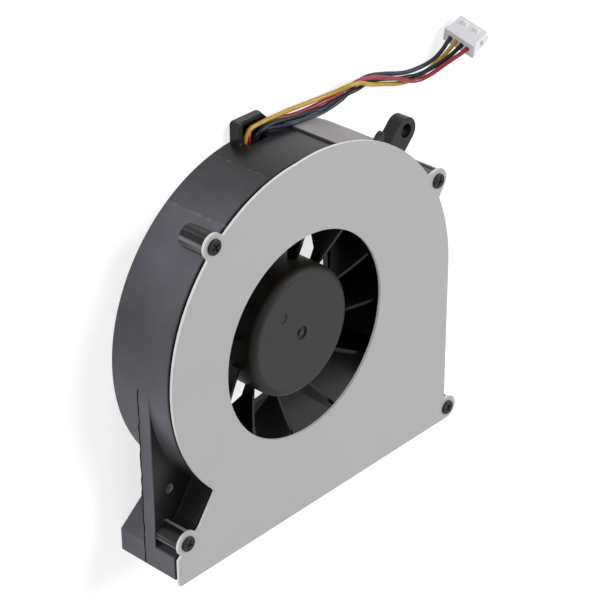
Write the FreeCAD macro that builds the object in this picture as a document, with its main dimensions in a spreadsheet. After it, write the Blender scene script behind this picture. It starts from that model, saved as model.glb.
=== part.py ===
"""Laptop blower fan: a moulded volute casing with a sheet-metal cover, an impeller on an
outer-rotor motor, and four leads that end in a small plug.

Frame: the origin is on the rotor's axis in the plane of the back face, on which the fan lies.
+Z points out of the cover plate, and -Y out of the outlet.
"""
import FreeCAD, Part
import math
import os
import Sketcher

Vector = FreeCAD.Vector
UP = Vector(0, 0, 1)
EPS = 0.01

# Driving sizes in millimetres and degrees
SIZES = {
    # casing in plan: two tangent-like arcs, a straight right side and a slanted throat wall
    "small_arc": 31.2, "small_arc_x": -0.46, "small_arc_y": 1.82,
    "big_arc": 35.0, "big_arc_x": 2.6, "big_arc_y": -1.7,
    "seam_x": 8.0, "throat_turn": 224.8, "slant_turn": 234.6, "outlet_depth": 34.2,
    "case_height": 13.5, "case_wall": 1.0, "case_floor": 1.2, "throat_round": 0.9,
    "seam_step": 0.35, "flare_start": 8.6, "flare_end": 4.3, "joint_height": 0.4, "joint_depth": 0.35,
    # mid-height flange beside the throat
    "web_bottom": 5.9, "web_thick": 2.5, "web_hole": 0.85, "web_hole_x": -27.9, "web_hole_y": -19.6,
    # back inlet, its spokes and the motor seat
    "seat_radius": 12.3, "back_inlet": 19.5, "spoke_width": 2.2, "lead_spoke": 5.6, "spoke_turn": 91.0,
    "seat_boss": 3.8, "seat_boss_height": 2.6, "board_rest": 5.2, "board_rest_height": 0.3,
    # cover plate and its screws
    "plate_thick": 0.5, "plate_lip": 1.05, "plate_over": 0.05, "inlet_radius": 19.0, "tab_radius": 2.3,
    "tab_round": 0.5, "corner_round": 0.6,
    "boss_radius": 2.0, "boss_depth": 5.4, "screw_clear": 0.15,
    "screw_head": 1.4, "screw_head_height": 0.4, "screw_shank": 0.8, "screw_length": 4.4,
    "cross_width": 0.32, "cross_span": 1.7, "cross_depth": 0.28, "thread_gap": 0.02,
    "screw_a_turn": 131.2, "screw_a_out": 0.6, "screw_b_turn": 29.95, "screw_b_out": 1.2,
    "screw_c_out": 1.05, "screw_c_rise": 1.25, "screw_d_in": 2.25, "screw_d_rise": 6.8,
    "tab_b_start": 34.9, "tab_b_end": 24.6,
    # mounting lug, cover hook and lead clip on the rim
    "lug_turn": 46.6, "lug_reach": 38.8, "lug_half": 2.45, "lug_hole": 1.3, "lug_top": 12.6, "lug_thick": 2.6,
    "hook_turn": 62.0, "hook_reach": 1.7, "hook_width": 0.7, "hook_height": 1.1,
    "clip_left": -3.3, "clip_right": 5.7, "clip_reach": 3.5, "clip_thick": 0.5, "clip_post": 0.8,
    "clip_height": 2.2, "clip_lip": 0.6, "clip_lip_height": 1.5, "clip_round": 0.7, "gate_width": 4.5,
    "gate_height": 2.4,
    # impeller
    "hub_radius": 12.0, "hub_top": 12.8, "hub_bottom": 4.2, "hub_skin": 0.9, "hub_round": 1.6,
    "dimple_radius": 1.3, "dimple_depth": 0.35, "pip_radius": 0.55, "gate_radius": 0.95, "gate_reach": 6.5,
    "gate_turn": 134.0, "gate_depth": 0.15,
    "blade_count": 12, "blade_tip": 27.4, "blade_thick": 0.6, "blade_top": 12.2, "blade_bottom": 3.0,
    "blade_phase": 16.7, "blade_sweep": 13.0, "blade_bow": -0.6, "root_top": 9.2, "root_bottom": 7.4,
    "root_reach": 2.0, "blade_full": 19.3,
    # motor
    "yoke_thick": 0.7, "yoke_drop": 0.3, "magnet_thick": 1.5, "magnet_length": 5.4, "fit_gap": 0.03,
    "shaft_radius": 1.0, "shaft_foot": 1.75, "shaft_embed": 0.5, "groove_radius": 0.8, "groove_width": 0.35,
    "groove_height": 2.1, "bearing_gap": 0.03, "sleeve_radius": 2.1, "sleeve_bottom": 2.7, "sleeve_length": 6.5,
    "holder_thick": 0.5, "holder_top": 9.8, "pad_thick": 0.5, "seal_thick": 0.35, "ring_reach": 1.6,
    "air_gap": 0.35, "core_bottom": 4.6, "core_height": 3.6, "core_ring": 4.3, "arm_width": 2.0,
    "shoe_depth": 1.3, "slot_mouth": 1.2, "insulator_thick": 0.8, "insulator_edge": 0.1, "winding": 0.85,
    "board_radius": 9.8, "board_thick": 0.8, "chip_length": 2.9, "chip_width": 2.4, "chip_height": 0.9,
    "chip_reach": 7.5,
    # leads and plug
    "lead_dia": 0.8,
    "plug_width": 6.7, "plug_length": 4.3, "plug_thick": 3.2, "flange_length": 0.9, "flange_over": 0.4,
    "plug_x": 51.45, "plug_y": 33.75, "plug_turn": 19.4, "plug_lean": 20.0, "pin_pitch": 1.25,
    "wire_hole": 0.95, "wire_hole_depth": 0.8, "socket_width": 0.75, "socket_height": 1.3,
    "rail_width": 1.1, "rail_length": 1.5, "ramp_width": 0.9, "ramp_height": 0.35, "ramp_length": 1.2,
    "terminal_play": 0.06, "terminal_wall": 0.15, "terminal_length": 2.9,
}

doc = FreeCAD.newDocument("laptop_blower_fan")
sheet = doc.addObject("Spreadsheet::Sheet", "sizes")
for row, (alias, value) in enumerate(SIZES.items(), start=1):
    sheet.set("A%d" % row, alias)
    sheet.set("B%d" % row, str(value))
    sheet.setAlias("B%d" % row, alias)
doc.recompute()


def size(alias):
    """A driving size as a plain number."""
    return float(getattr(sheet, alias))


def rad(degrees):
    return math.radians(degrees)


def polar(radius, degrees, centre_x=0.0, centre_y=0.0):
    return Vector(centre_x + radius * math.cos(rad(degrees)), centre_y + radius * math.sin(rad(degrees)), 0)


# Heights that several pieces share
PLATE_TOP = size("case_height") + size("plate_thick")
WEB_TOP = size("web_bottom") + size("web_thick")
YOKE_OUTER = size("hub_radius") - size("hub_skin") - size("fit_gap")
YOKE_TOP = size("hub_top") - size("hub_skin") - size("yoke_drop")
MAGNET_OUTER = YOKE_OUTER - size("yoke_thick") - size("fit_gap")
MAGNET_INNER = MAGNET_OUTER - size("magnet_thick")
POLE_RADIUS = MAGNET_INNER - size("air_gap")
HOLDER_INNER = size("sleeve_radius") + size("fit_gap")
HOLDER_OUTER = HOLDER_INNER + size("holder_thick")
BOARD_BOTTOM = size("case_floor") + size("board_rest_height")
BOARD_TOP = BOARD_BOTTOM + size("board_thick")
LEFT_X = size("small_arc_x") - size("small_arc")
RIGHT_X = size("big_arc_x") + size("big_arc")
OUTLET_Y = -size("outlet_depth")
KNEE_Y = OUTLET_Y + size("flare_start")
FLARE_Y = OUTLET_Y + size("flare_end")
LIP_Y = OUTLET_Y - size("plate_lip")
SCREW_A = polar(size("small_arc") + size("screw_a_out"), size("screw_a_turn"), size("small_arc_x"),
                size("small_arc_y"))
SCREW_B = polar(size("big_arc") + size("screw_b_out"), size("screw_b_turn"), size("big_arc_x"),
                size("big_arc_y"))
SCREW_C = Vector(RIGHT_X + size("screw_c_out"), OUTLET_Y + size("screw_c_rise"), 0)
SCREW_D = Vector(LEFT_X + size("screw_d_in"), OUTLET_Y + size("screw_d_rise"), 0)
SCREWS = [(point.x, point.y) for point in (SCREW_A, SCREW_B, SCREW_C, SCREW_D)]


# Building blocks
def new_body(label):
    body = doc.addObject("PartDesign::Body", label)
    body.Label = label
    return body


def base_plane(body, role):
    return [item for item in body.Origin.OriginFeatures if item.Role == role][0]


def new_sketch(body, name, geometry, height=None, role="XY_Plane"):
    """A sketch on one of the body's own planes, raised to a height given as an expression."""
    sketch = body.newObject("Sketcher::SketchObject", name)
    sketch.AttachmentSupport = (base_plane(body, role), "")
    sketch.MapMode = "FlatFace"
    if height is not None:
        sketch.setExpression("AttachmentOffset.Base.z", height)
    sketch.addGeometry(geometry, False)
    return sketch


def pad(body, name, geometry, length, height=None, role="XY_Plane"):
    sketch = new_sketch(body, name + "_sketch", geometry, height, role)
    feature = body.newObject("PartDesign::Pad", name)
    feature.Profile = sketch
    feature.setExpression("Length", length)
    doc.recompute()
    return feature


def pocket(body, name, geometry, length, height=None, upward=False, role="XY_Plane"):
    """A cut from a sketch plane against its normal, or along it; it has to take something away."""
    before = body.Shape.Volume
    sketch = new_sketch(body, name + "_sketch", geometry, height, role)
    feature = body.newObject("PartDesign::Pocket", name)
    feature.Profile = sketch
    feature.Reversed = upward
    feature.setExpression("Length", length)
    doc.recompute()
    if body.Shape.Volume > before - 1e-6:
        raise RuntimeError(name + " cuts nothing")
    return feature


def polygon(points):
    corners = [Vector(point[0], point[1], 0) for point in points]
    return [Part.LineSegment(corners[i], corners[(i + 1) % len(corners)]) for i in range(len(corners))]


def rectangle(x0, y0, x1, y1):
    return polygon([(x0, y0), (x1, y0), (x1, y1), (x0, y1)])


def circle(x, y, radius):
    return Part.Circle(Vector(x, y, 0), UP, radius)


def arc(x, y, radius, start, end):
    return Part.ArcOfCircle(circle(x, y, radius), rad(start), rad(end))


def rounded(points, radii):
    """A closed outline through corner points, each rounded by its own radius, where 0 keeps it sharp."""
    corners = [Vector(point[0], point[1], 0) for point in points]
    outline = []
    ends = []
    for index, radius in enumerate(radii):
        corner = corners[index]
        into = (corners[index - 1] - corner).normalize()
        out = (corners[(index + 1) % len(corners)] - corner).normalize()
        half = into.getAngle(out) / 2
        cut = radius / math.tan(half)
        ends.append((corner + into * cut, corner + out * cut))
        if radius:
            bulge = (into + out).normalize() * (radius / math.sin(half) - radius)
            outline.append(Part.Arc(ends[index][0], corner + bulge, ends[index][1]).copy())
    for index, (first, last) in enumerate(ends):
        outline.append(Part.LineSegment(ends[index - 1][1], first))
    return outline


def round_edges(body, name, radius, wanted):
    """Rounds the edges of the body that a test picks by their middle point and direction."""
    base = body.Tip
    names = []
    for index, edge in enumerate(base.Shape.Edges, start=1):
        middle = edge.valueAt((edge.FirstParameter + edge.LastParameter) / 2)
        if wanted(edge, middle):
            names.append("Edge%d" % index)
    if not names:
        raise RuntimeError(name + " finds no edge")
    feature = body.newObject("PartDesign::Fillet", name)
    feature.Base = (base, names)
    feature.setExpression("Radius", radius)
    doc.recompute()
    return feature


def is_upright(edge):
    box = edge.BoundBox
    return box.XLength < EPS and box.YLength < EPS and box.ZLength > 10 * EPS


def tube(label, outer, inner, bottom, height):
    """A ring about the rotor's axis, its sizes given as expressions."""
    outside = doc.addObject("Part::Cylinder", label + "_outside")
    outside.setExpression("Radius", outer)
    outside.setExpression("Height", height)
    outside.setExpression("Placement.Base.z", bottom)
    inside = doc.addObject("Part::Cylinder", label + "_inside")
    inside.setExpression("Radius", inner)
    inside.setExpression("Height", height)
    inside.setExpression("Placement.Base.z", bottom)
    ring = doc.addObject("Part::Cut", label)
    ring.Label = label
    ring.Base = outside
    ring.Tool = inside
    return ring


def number(value):
    """A worked-out length as an expression."""
    return "%.6f" % value


# The casing's outline in plan
def arc_height(name, inset, x):
    """Y of the upper half of a casing arc at a given X."""
    reach = x - size(name + "_x")
    radius = size(name) - inset
    return size(name + "_y") + math.sqrt(radius * radius - reach * reach)


def slant_point(inset, distance):
    """A point on the throat wall, at a distance down it from the throat's corner."""
    corner = polar(size("small_arc"), size("throat_turn"), size("small_arc_x"), size("small_arc_y"))
    along = polar(1, size("slant_turn"))
    inward = polar(1, size("slant_turn") + 90)
    return corner + inward * inset + along * distance


def throat_corner(inset):
    """Where the throat wall meets the small arc, both moved inwards by the inset."""
    centre = Vector(size("small_arc_x"), size("small_arc_y"), 0)
    radius = size("small_arc") - inset
    start = slant_point(inset, 0) - centre
    along = polar(1, size("slant_turn"))
    half = start.dot(along)
    step = -half + math.sqrt(half * half - start.dot(start) + radius * radius)
    if step > size("small_arc"):
        step = -half - math.sqrt(half * half - start.dot(start) + radius * radius)
    return slant_point(inset, step)


def slant_at_y(inset, y):
    start = slant_point(inset, 0)
    along = polar(1, size("slant_turn"))
    return start + along * ((y - start.y) / along.y)


def flare_line(inset):
    """A point and the direction of the wall that widens the duct to the casing's left side."""
    start = slant_at_y(0, KNEE_Y)
    along = (Vector(LEFT_X, FLARE_Y, 0) - start).normalize()
    return start + Vector(-along.y, along.x, 0) * inset, along


def knee(inset):
    """Where the throat wall turns into the flare."""
    start, along = flare_line(inset)
    corner = slant_point(inset, 0)
    down = polar(1, size("slant_turn"))
    gap = start - corner
    return corner + down * ((gap.x * along.y - gap.y * along.x) / (down.x * along.y - down.y * along.x))


def shoulder(inset):
    """Where the flare meets the casing's left side."""
    start, along = flare_line(inset)
    return start + along * ((LEFT_X + inset - start.x) / along.x)


def turn_about(point, centre):
    return math.degrees(math.atan2(point.y - centre.y, point.x - centre.x)) % 360


def turn_of(point, name):
    return turn_about(point, Vector(size(name + "_x"), size(name + "_y"), 0))


def arcs_meet(inset):
    """Where the two arcs cross above the hub, for an outline with no step."""
    one = Vector(size("small_arc_x"), size("small_arc_y"), 0)
    two = Vector(size("big_arc_x"), size("big_arc_y"), 0)
    gap = (two - one).Length
    first = size("small_arc") - inset
    second = size("big_arc") - inset
    along = (gap * gap + first * first - second * second) / (2 * gap)
    lift = math.sqrt(max(first * first - along * along, 0.0))
    unit = (two - one) * (1 / gap)
    side = Vector(-unit.y, unit.x, 0)
    return max([one + unit * along + side * lift, one + unit * along - side * lift], key=lambda point: point.y)


def blend():
    """Centre and radius of the arc that leaves the small arc where the two cross and ends at the seam,
    one step below the big arc."""
    start = arcs_meet(0)
    seam = size("seam_x")
    span = Vector(seam, arc_height("big_arc", 0, seam) - size("seam_step"), 0) - start
    inward = (Vector(size("small_arc_x"), size("small_arc_y"), 0) - start).normalize()
    radius = span.dot(span) / (2 * inward.dot(span))
    return start + inward * radius, radius


def volute(inset, bottom):
    """The casing's outline, inset by a wall, from the outlet round the arcs to the throat."""
    right = RIGHT_X - inset
    seam = size("seam_x") + inset
    on_big = Vector(seam, arc_height("big_arc", inset, seam), 0)
    centre, radius = blend()
    radius -= inset
    on_blend = Vector(seam, centre.y + math.sqrt(radius * radius - (seam - centre.x) ** 2), 0)
    leave = (arcs_meet(0) - centre).normalize() * radius + centre
    throat = throat_corner(inset)
    corner_left = Vector(LEFT_X + inset, bottom, 0)
    corner_right = Vector(right, bottom, 0)
    tangent = Vector(right, size("big_arc_y"), 0)
    return [
        Part.LineSegment(corner_left, corner_right),
        Part.LineSegment(corner_right, tangent),
        arc(size("big_arc_x"), size("big_arc_y"), size("big_arc") - inset, 0, turn_of(on_big, "big_arc")),
        Part.LineSegment(on_big, on_blend),
        arc(centre.x, centre.y, radius, turn_about(on_blend, centre), turn_about(leave, centre)),
        arc(size("small_arc_x"), size("small_arc_y"), size("small_arc") - inset,
            turn_of(leave, "small_arc"), turn_of(throat, "small_arc")),
        Part.LineSegment(throat, knee(inset)),
        Part.LineSegment(knee(inset), shoulder(inset)),
        Part.LineSegment(shoulder(inset), corner_left),
    ]


def make_casing():
    body = new_body("casing")
    wall = size("case_wall")
    pad(body, "shell", volute(0, OUTLET_Y), "sizes.case_height - sizes.joint_height")
    pad(body, "rim", volute(size("joint_depth"), OUTLET_Y), "sizes.joint_height",
        "sizes.case_height - sizes.joint_height")
    pocket(body, "cavity", volute(wall, OUTLET_Y - wall), "sizes.case_height - sizes.case_floor",
           "sizes.case_height")

    def at_throat(edge, middle):
        corner = throat_corner(wall)
        return is_upright(edge) and math.hypot(middle.x - corner.x, middle.y - corner.y) < EPS
    round_edges(body, "cutoff_nose", "sizes.throat_round", at_throat)

    # flange beside the throat, out to the casing's left side
    middle = wall / 2
    nose = throat_corner(middle)
    level = Vector(size("small_arc_x") - size("small_arc") + middle, size("small_arc_y"), 0)
    flange = [
        Part.LineSegment(Vector(LEFT_X, size("small_arc_y"), 0), shoulder(0)),
        Part.LineSegment(shoulder(0), shoulder(middle)),
        Part.LineSegment(shoulder(middle), knee(middle)),
        Part.LineSegment(knee(middle), nose),
        arc(size("small_arc_x"), size("small_arc_y"), size("small_arc") - middle, 180, turn_of(nose, "small_arc")),
        Part.LineSegment(level, Vector(LEFT_X, size("small_arc_y"), 0)),
    ]
    pad(body, "flange", flange, "sizes.web_thick", "sizes.web_bottom")
    pocket(body, "flange_hole", [circle(size("web_hole_x"), size("web_hole_y"), size("web_hole"))],
           "sizes.web_thick", "sizes.web_bottom", upward=True)

    # screw bosses, each carried by the wall beside it
    boss_names = ("upper_left", "upper_right", "lower_right", "lower_left")
    for name, (x, y) in zip(boss_names, SCREWS):
        deep = "sizes.boss_depth"
        if name == "lower_left":
            deep = "sizes.case_height - sizes.web_bottom - sizes.web_thick"
        pad(body, name + "_boss", [circle(x, y, size("boss_radius"))], deep, "sizes.case_height - " + deep
            if name != "lower_left" else "sizes.web_bottom + sizes.web_thick")
    gusset_turn = size("lug_turn") - 10
    start = polar(size("big_arc") - middle, gusset_turn, size("big_arc_x"), size("big_arc_y"))
    x, y = SCREWS[1]
    rim = polar(size("boss_radius"), gusset_turn + 20, x, y)
    inner = polar(size("big_arc") - middle, 28, size("big_arc_x"), size("big_arc_y"))
    pad(body, "upper_right_gusset", polygon([start, rim, (x, y), inner]), "sizes.boss_depth",
        "sizes.case_height - sizes.boss_depth")
    x, y = SCREWS[2]
    bridge = polygon([(RIGHT_X - middle, y - size("boss_radius") + wall), (x, y - size("boss_radius") + wall / 4),
                      (x, y + size("boss_radius")), (RIGHT_X - middle, y + size("boss_radius") + wall)])
    pad(body, "lower_right_bridge", bridge, "sizes.boss_depth", "sizes.case_height - sizes.boss_depth")
    pocket(body, "screw_bores", [circle(x, y, size("screw_shank") + size("thread_gap")) for x, y in SCREWS],
           "sizes.screw_length + sizes.screw_clear - sizes.plate_thick", "sizes.case_height")

    # mounting lug
    turn = size("lug_turn")
    along = polar(1, turn)
    across = polar(1, turn + 90)
    eye = polar(size("lug_reach"), turn)
    root = along * (size("big_arc") - wall / 2)
    half = size("lug_half")
    lug = [
        Part.LineSegment(root + across * half, root - across * half),
        Part.LineSegment(root - across * half, eye - across * half),
        arc(eye.x, eye.y, half, turn - 90, turn + 90),
        Part.LineSegment(eye + across * half, root + across * half),
    ]
    pad(body, "lug", lug, "sizes.lug_thick", "sizes.lug_top - sizes.lug_thick")
    pocket(body, "lug_eye", [circle(eye.x, eye.y, size("lug_hole"))], "sizes.lug_thick", "sizes.lug_top")

    # small hook beside the lug, whose nose stands over the wall
    turn = size("hook_turn")
    root = polar(size("big_arc") - middle, turn, size("big_arc_x"), size("big_arc_y"))
    out = (root - Vector(size("big_arc_x"), size("big_arc_y"), 0)).normalize()
    side = Vector(-out.y, out.x, 0)
    reach = middle + size("hook_reach")
    width = size("hook_width")
    fin = [
        Part.LineSegment(root + side * width, root - side * width),
        Part.Arc(root - side * width, root + out * (reach * 0.55) - side * (width * 0.75), root + out * reach).copy(),
        Part.Arc(root + out * reach, root + out * (reach * 0.7) + side * (width * 0.8), root + side * width).copy(),
    ]
    pad(body, "cover_hook", fin, "sizes.hook_height", "sizes.case_height - sizes.hook_height")

    # lead clip on the back rim: a tongue under the leads, a post beside them and a low lip
    left, right = size("clip_left"), size("clip_right")
    rim = size("small_arc_y") + size("small_arc")
    base, top = rim - middle, rim + size("clip_reach")
    slope = size("clip_reach") / 2
    end = right - slope * 1.5
    inner, bend, stop = left + size("clip_post"), size("clip_round"), end - size("clip_round") / 2
    shelf = top - size("clip_lip")
    tongue = rounded([(left, base), (right, base), (right, rim + slope / 2), (end, top), (left, top)],
                     [0, 0, bend, bend, bend])
    pad(body, "clip_tongue", tongue, "sizes.clip_thick")
    lip = rounded([(left, base), (inner, base), (inner, shelf), (stop, shelf), (stop, top), (left, top)],
                  [0, 0, 0, 0, 0, bend])
    pad(body, "clip_lip", lip, "sizes.clip_lip_height")
    post = rounded([(left, base), (inner, base), (inner, top), (left, top)], [0, 0, 0, bend])
    pad(body, "clip_post", post, "sizes.clip_height")

    # back inlet in sectors between the spokes
    turns = [size("spoke_turn"), size("spoke_turn") + 120, size("spoke_turn") + 240]
    halves = [size("lead_spoke") / 2, size("spoke_width") / 2, size("spoke_width") / 2]
    inner_r, outer_r = size("seat_radius"), size("back_inlet")
    sectors = []
    for index in range(3):
        start, end = turns[index], turns[(index + 1) % 3] + (360 if index == 2 else 0)
        lead, trail = halves[index], halves[(index + 1) % 3]
        outer_start = start + math.degrees(math.asin(lead / outer_r))
        outer_end = end - math.degrees(math.asin(trail / outer_r))
        inner_start = start + math.degrees(math.asin(lead / inner_r))
        inner_end = end - math.degrees(math.asin(trail / inner_r))
        sectors += [
            arc(0, 0, outer_r, outer_start, outer_end),
            arc(0, 0, inner_r, inner_start, inner_end),
            Part.LineSegment(polar(inner_r, inner_start), polar(outer_r, outer_start)),
            Part.LineSegment(polar(inner_r, inner_end), polar(outer_r, outer_end)),
        ]
    pocket(body, "back_inlet_sectors", sectors, "sizes.case_floor", None, upward=True)

    # seat for the bearing holder and the board
    seat = [circle(0, 0, size("board_rest")), circle(0, 0, HOLDER_OUTER + size("fit_gap"))]
    pad(body, "board_seat", seat, "sizes.board_rest_height", "sizes.case_floor")
    seat = [circle(0, 0, size("seat_boss")), circle(0, 0, HOLDER_OUTER + size("fit_gap"))]
    pad(body, "holder_seat", seat, "sizes.seat_boss_height", "sizes.case_floor")

    # way out for the leads through the rim, beside the clip's post
    near, far = left + size("clip_post") + size("lead_dia") / 4, rim + wall / 4
    slot = polygon([(near, rim - 2 * wall), (near + size("gate_width"), rim - 2 * wall),
                    (near + size("gate_width"), far), (near, far)])
    pocket(body, "lead_gate", slot, "sizes.gate_height", "sizes.case_floor", upward=True)
    return body


def plate_outline():
    over = -size("plate_over")
    lip = LIP_Y
    meet = arcs_meet(over)
    throat = throat_corner(over)
    left = LEFT_X + over
    right = RIGHT_X - over
    return [
        Part.LineSegment(Vector(left, lip, 0), Vector(right, lip, 0)),
        Part.LineSegment(Vector(right, lip, 0), Vector(right, size("big_arc_y"), 0)),
        arc(size("big_arc_x"), size("big_arc_y"), size("big_arc") - over, 0, turn_of(meet, "big_arc")),
        arc(size("small_arc_x"), size("small_arc_y"), size("small_arc") - over,
            turn_of(meet, "small_arc"), turn_of(throat, "small_arc")),
        Part.LineSegment(throat, knee(over)),
        Part.LineSegment(knee(over), shoulder(over)),
        Part.LineSegment(shoulder(over), Vector(left, lip, 0)),
    ]


def tangent_point(outside, centre, radius, left):
    """Where a line from a point outside a circle touches it, on its left or right side."""
    away = centre - outside
    distance = away.Length
    turn = math.atan2(away.y, away.x)
    swing = math.asin(radius / distance)
    reach = math.sqrt(distance * distance - radius * radius)
    turn += swing if left else -swing
    return Vector(outside.x + reach * math.cos(turn), outside.y + reach * math.sin(turn), 0)


def make_cover_plate():
    body = new_body("cover_plate")
    radius = size("tab_radius")
    pad(body, "sheet", plate_outline(), "sizes.plate_thick", "sizes.case_height")
    for index, (x, y) in enumerate(SCREWS):
        pad(body, "tab_%d" % (index + 1), [circle(x, y, radius)], "sizes.plate_thick", "sizes.case_height")
    start = polar(size("big_arc"), size("tab_b_start"), size("big_arc_x"), size("big_arc_y"))
    end = polar(size("big_arc"), size("tab_b_end"), size("big_arc_x"), size("big_arc_y"))
    first = tangent_point(start, SCREW_B, radius, True)
    last = tangent_point(end, SCREW_B, radius, False)
    inward = polar(size("big_arc") - 1, size("screw_b_turn"), size("big_arc_x"), size("big_arc_y"))
    corners = [start, first, SCREW_B, last, end, inward]
    pad(body, "tab_2_root", polygon([(point.x, point.y) for point in corners]), "sizes.plate_thick",
        "sizes.case_height")
    corners = [(RIGHT_X - 1, LIP_Y), (SCREW_C.x, LIP_Y), (SCREW_C.x, SCREW_C.y), (RIGHT_X - 1, SCREW_C.y)]
    pad(body, "tab_3_root", polygon(corners), "sizes.plate_thick", "sizes.case_height")

    def at_root(edge, middle):
        near_a = math.hypot(middle.x - SCREW_A.x, middle.y - SCREW_A.y) < radius + EPS
        near_d = math.hypot(middle.x - SCREW_D.x, middle.y - SCREW_D.y) < radius + EPS
        return is_upright(edge) and (near_a or near_d and middle.y > SCREW_D.y)
    round_edges(body, "tab_roots", "sizes.tab_round", at_root)

    def at_corner(edge, middle):
        corner = throat_corner(-size("plate_over"))
        near_throat = math.hypot(middle.x - corner.x, middle.y - corner.y) < EPS
        near_lip = abs(middle.y - LIP_Y) < EPS and abs(middle.x - LEFT_X) < 1
        return is_upright(edge) and (near_throat or near_lip)
    round_edges(body, "sheet_corners", "sizes.corner_round", at_corner)
    pocket(body, "inlet", [circle(0, 0, size("inlet_radius"))], "sizes.plate_thick",
           "sizes.case_height + sizes.plate_thick")
    holes = [circle(x, y, size("screw_shank") + size("screw_clear")) for x, y in SCREWS]
    pocket(body, "screw_holes", holes, "sizes.plate_thick", "sizes.case_height + sizes.plate_thick")
    return body


def screw_shape():
    """One low-head screw with a cross recess, its head's seat at the origin."""
    head = Part.makeCylinder(size("screw_head"), size("screw_head_height"))
    rim = [edge for edge in head.Edges if edge.BoundBox.ZMin > size("screw_head_height") - EPS]
    head = head.makeFillet(size("screw_head_height") * 0.5, rim)
    span, width, deep = size("cross_span"), size("cross_width"), size("cross_depth")
    low = size("screw_head_height") - deep
    for turn in (0, 90):
        slot = Part.makeBox(span, width, deep + 1, Vector(-span / 2, -width / 2, low))
        slot.rotate(Vector(0, 0, 0), UP, turn)
        head = head.cut(slot)
    length = size("screw_length")
    shank = Part.makeCylinder(size("screw_shank"), length, Vector(0, 0, -length))
    tip = Part.makeCone(size("screw_shank") * 0.55, size("screw_shank"), size("screw_shank"),
                        Vector(0, 0, -length))
    shank = shank.cut(Part.makeCylinder(size("screw_shank") + 1, size("screw_shank"), Vector(0, 0, -length)))
    return head.fuse(shank.fuse(tip)).removeSplitter()


def make_screws():
    group = doc.addObject("Part::Feature", "cover_screws")
    group.Label = "cover_screws"
    copies = []
    for index, (x, y) in enumerate(SCREWS):
        copy = screw_shape()
        copy.rotate(Vector(0, 0, 0), UP, 25 + 40 * index)
        copy.translate(Vector(x, y, PLATE_TOP))
        copies.append(copy)
    group.Shape = Part.makeCompound(copies)
    group.Placement = FreeCAD.Placement()
    return group


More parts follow.
